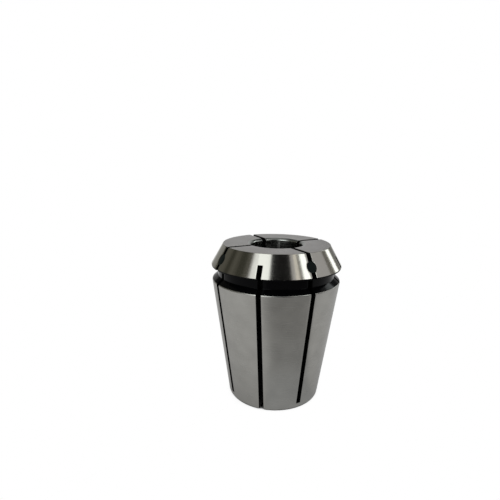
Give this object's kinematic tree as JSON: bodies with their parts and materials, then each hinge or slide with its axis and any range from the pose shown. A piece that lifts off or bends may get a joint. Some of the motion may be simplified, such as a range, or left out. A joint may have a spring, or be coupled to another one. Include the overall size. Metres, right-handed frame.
{
  "type": "er collet",
  "caption": "Sealed spring collet with a steep nose cone, an extraction groove, a slotted tapered body and a through bore that grips a round tool shank.",
  "frame": {"origin": "middle of the flat back face, on the bore axis", "axes": "+Z along the bore axis, from the small back face to the nose; -Y is the side that the picture shows"},
  "size_m": [0.033, 0.033, 0.04],
  "materials": {
    "ground_steel": "fine ground steel on the nose, face and body taper; blackened in the groove, on the shoulder and in the slots",
    "seal_rubber": "matt dark rubber"
  },
  "bodies": {
    "root": {"collet_body": "ground_steel", "seal_plug_1": "seal_rubber", "seal_plug_2": "seal_rubber", "seal_plug_3": "seal_rubber", "seal_plug_4": "seal_rubber"}
  },
  "joints": []
}
